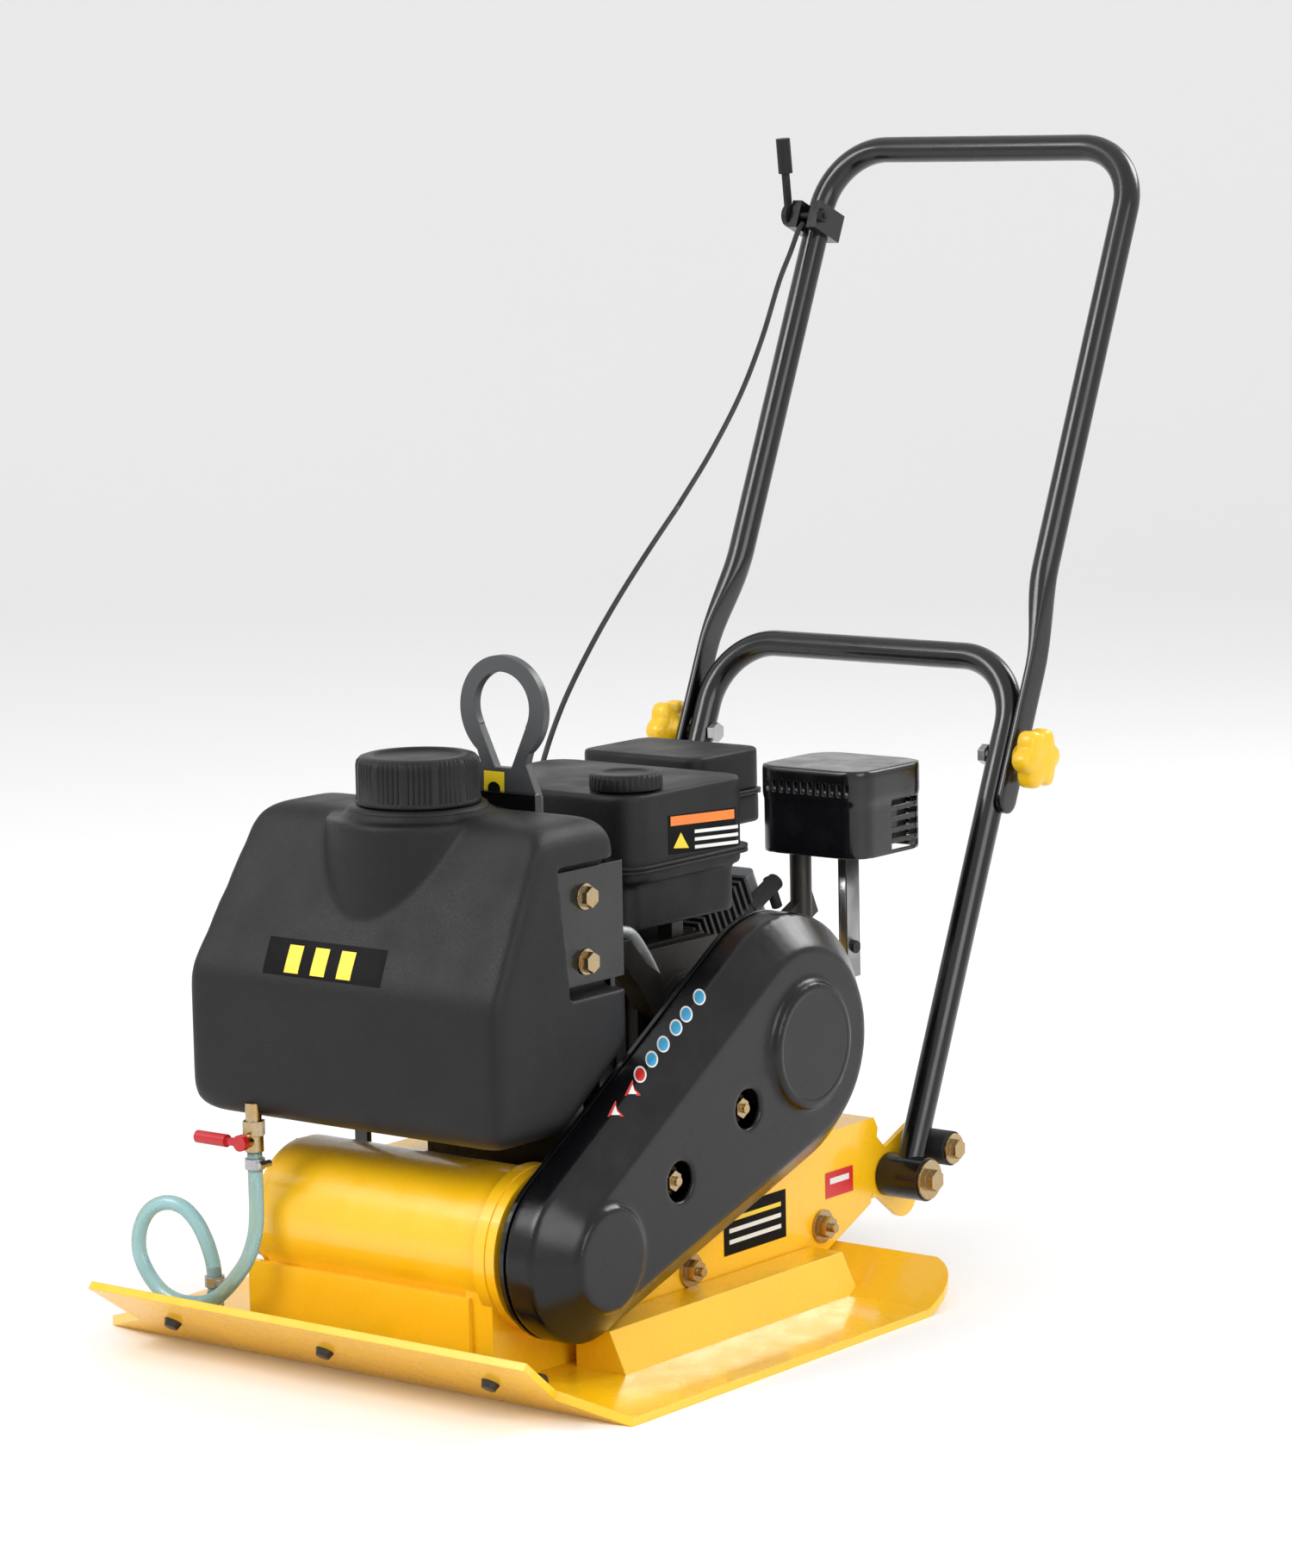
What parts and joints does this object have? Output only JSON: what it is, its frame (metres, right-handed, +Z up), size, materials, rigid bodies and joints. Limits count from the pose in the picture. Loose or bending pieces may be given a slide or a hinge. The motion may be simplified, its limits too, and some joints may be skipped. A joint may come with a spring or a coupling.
{
  "type": "plate compactor",
  "caption": "Petrol forward plate compactor with water tank, belt guard, lifting eye and a folding two-part handle.",
  "frame": {"origin": "centre of the flat sole, on the ground", "axes": "+Z up, +X to the belt guard side, +Y towards the handle"},
  "size_m": [0.58, 1.0402, 1.0155],
  "materials": {
    "yellow_paint": "gloss",
    "black_paint": "gloss",
    "grey_paint": "satin",
    "tank_plastic": "matte",
    "guard_plastic": "gloss",
    "knob_plastic": "gloss",
    "red_plastic": "gloss",
    "rubber": "matte",
    "steel": "satin",
    "alloy": "satin",
    "zinc_yellow": "satin",
    "hose_plastic": "gloss",
    "cast_metal": "matte"
  },
  "bodies": {
    "root": {"base_plate": "yellow_paint", "spray_bar": "black_paint", "lip_bolts": "steel", "exciter_housing": "yellow_paint", "exciter_cover_left": "yellow_paint", "exciter_cover_right": "yellow_paint", "cover_bolts": "steel", "exciter_bearings": "steel", "drive_belt": "rubber", "crankcase": "black_paint", "crankcase_cover": "alloy", "cylinder": "cast_metal", "rocker_cover": "alloy", "spark_plug": "rubber", "recoil_starter": "black_paint", "fuel_tank": "tank_plastic", "carburettor": "alloy", "air_cleaner": "tank_plastic", "muffler": "steel", "muffler_guard": "black_paint", "engine_bed": "yellow_paint", "rubber_mounts": "rubber", "frame_bolts": "zinc_yellow", "belt_guard": "guard_plastic", "guard_backplate": "black_paint", "guard_bolts": "zinc_yellow", "water_tank": "tank_plastic", "tank_brackets": "black_paint", "tank_bolts": "zinc_yellow", "water_valve": "zinc_yellow", "water_hose": "hose_plastic", "hose_fitting": "steel", "lifting_frame": "black_paint", "lifting_eye": "grey_paint", "pivot_bolts": "zinc_yellow", "stop_buffers": "rubber", "throttle_cable_lower": "rubber"},
    "handle_lower": {"handle_lower": "black_paint", "pivot_bushes": "rubber", "knob_bolts": "steel"},
    "handle_upper": {"handle_upper": "black_paint", "throttle_bracket": "black_paint", "throttle_cable_upper": "rubber"},
    "knob_left": {"knob_left": "knob_plastic"},
    "knob_right": {"knob_right": "knob_plastic"},
    "throttle_lever": {"throttle_lever": "tank_plastic"},
    "throttle_arm": {"throttle_arm": "steel"},
    "valve_lever": {"valve_lever": "red_plastic"},
    "water_cap": {"water_cap": "tank_plastic"},
    "fuel_cap": {"fuel_cap": "tank_plastic"},
    "starter_grip": {"starter_grip": "tank_plastic"},
    "exciter_rotor": {"eccentric_shaft": "steel", "exciter_pulley": "steel"},
    "engine_rotor": {"crankshaft": "steel", "flywheel": "alloy", "clutch_pulley": "steel", "clutch_hub": "alloy"},
    "choke_lever": {"choke_lever": "tank_plastic"},
    "engine_switch": {"engine_switch": "red_plastic"},
    "dipstick": {"dipstick": "tank_plastic"}
  },
  "joints": [
    {"name": "handle_fold", "type": "hinge", "parent": "root", "child": "handle_lower", "pos_m": [0, 0.346, 0.0845], "axis": [1, 0, 0], "range_deg": [0, 30], "deforming": ["throttle_cable_lower"]},
    {"name": "upper_handle_fold", "type": "hinge", "parent": "handle_lower", "child": "handle_upper", "pos_m": [0, 0.5026, 0.451], "axis": [1, 0, 0], "range_deg": [0, 75], "deforming": ["throttle_cable_upper"]},
    {"name": "knob_left_turn", "type": "hinge", "parent": "handle_lower", "child": "knob_left", "pos_m": [-0.2, 0.5026, 0.451], "axis": [1, 0, 0], "continuous": true},
    {"name": "knob_right_turn", "type": "hinge", "parent": "handle_lower", "child": "knob_right", "pos_m": [0.2, 0.5026, 0.451], "axis": [1, 0, 0], "continuous": true},
    {"name": "throttle_lever_turn", "type": "hinge", "parent": "handle_upper", "child": "throttle_lever", "pos_m": [-0.1763, 0.69086, 0.93956], "axis": [1, 0, 0], "range_deg": [0, 55]},
    {"name": "throttle_arm_turn", "type": "hinge", "parent": "root", "child": "throttle_arm", "pos_m": [-0.136, 0.19, 0.35], "axis": [1, 0, 0], "range_deg": [0, 27.5]},
    {"name": "valve_lever_turn", "type": "hinge", "parent": "root", "child": "valve_lever", "pos_m": [-0.103, -0.2353, 0.191], "axis": [0, -1, 0], "range_deg": [0, 90]},
    {"name": "water_cap_turn", "type": "hinge", "parent": "root", "child": "water_cap", "pos_m": [0, -0.117, 0.49], "axis": [0, 0, 1], "continuous": true},
    {"name": "fuel_cap_turn", "type": "hinge", "parent": "root", "child": "fuel_cap", "pos_m": [0.07, 0.076, 0.47], "axis": [0, 0, 1], "range_deg": [0, 90]},
    {"name": "starter_pull", "type": "slide", "parent": "root", "child": "starter_grip", "axis": [-0.6, 0, 0.8], "range_m": [0, 0.45], "stiffness_N_per_m": 8, "springref_m": -0.15},
    {"name": "exciter_spin", "type": "hinge", "parent": "root", "child": "exciter_rotor", "pos_m": [0, -0.143, 0.114], "axis": [1, 0, 0], "continuous": true},
    {"name": "engine_spin", "type": "hinge", "parent": "root", "child": "engine_rotor", "pos_m": [0, 0.138, 0.246], "axis": [1, 0, 0], "continuous": true},
    {"name": "choke_turn", "type": "hinge", "parent": "root", "child": "choke_lever", "pos_m": [-0.119, 0.244, 0.378], "axis": [1, 0, 0], "range_deg": [-30, 0]},
    {"name": "switch_turn", "type": "hinge", "parent": "root", "child": "engine_switch", "pos_m": [-0.05, 0.072, 0.3], "axis": [1, 0, 0], "range_deg": [0, 20]},
    {"name": "dipstick_turn", "type": "hinge", "parent": "root", "child": "dipstick", "pos_m": [0.046, 0.072, 0.188], "axis": [0, -0.866, 0.5], "continuous": true}
  ],
  "couplings": [
    {"joint": "engine_spin", "follows": "exciter_spin", "ratio": 0.66667},
    {"joint": "throttle_arm_turn", "follows": "throttle_lever_turn", "ratio": 0.5}
  ]
}
